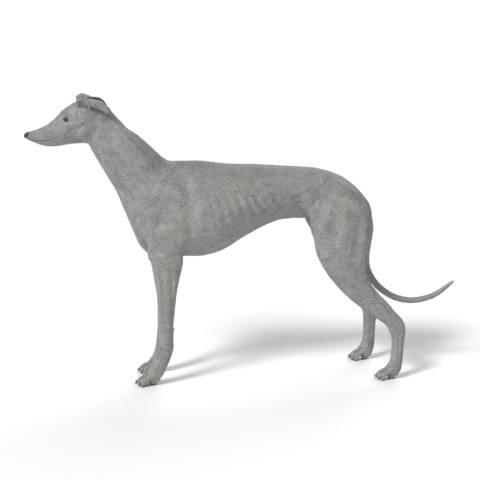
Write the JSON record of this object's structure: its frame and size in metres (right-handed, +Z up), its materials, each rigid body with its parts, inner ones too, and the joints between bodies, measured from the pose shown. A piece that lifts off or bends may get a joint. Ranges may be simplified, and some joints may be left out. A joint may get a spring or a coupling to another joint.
{
  "type": "greyhound dog",
  "caption": "Life-size still model of a grey greyhound standing in profile, head level, ears folded back and tail low with its tip raised.",
  "frame": {"origin": "middle of the animal's length and width, on the floor under its feet", "axes": "+X towards the tail, so the nose points to -X; +Y towards the animal's right side; +Z up"},
  "size_m": [1.3629, 0.2546, 0.9163],
  "materials": {
    "coat": "short smooth grey coat that lies flat",
    "nose_leather": "moist, finely pebbled",
    "eye": "dark brown, wet gloss"
  },
  "bodies": {
    "root": {"head": "coat", "nose": "nose_leather", "eye_left": "eye", "eye_right": "eye", "ear_left": "coat", "ear_right": "coat", "neck": "coat", "chest": "coat", "loins": "coat", "forearm_left": "coat", "forearm_right": "coat", "forepaw_left": "coat", "forepaw_right": "coat", "thigh_left": "coat", "thigh_right": "coat", "shank_left": "coat", "shank_right": "coat", "hindpaw_left": "coat", "hindpaw_right": "coat", "tail_base": "coat", "tail_middle": "coat", "tail_tip": "coat"}
  },
  "joints": []
}
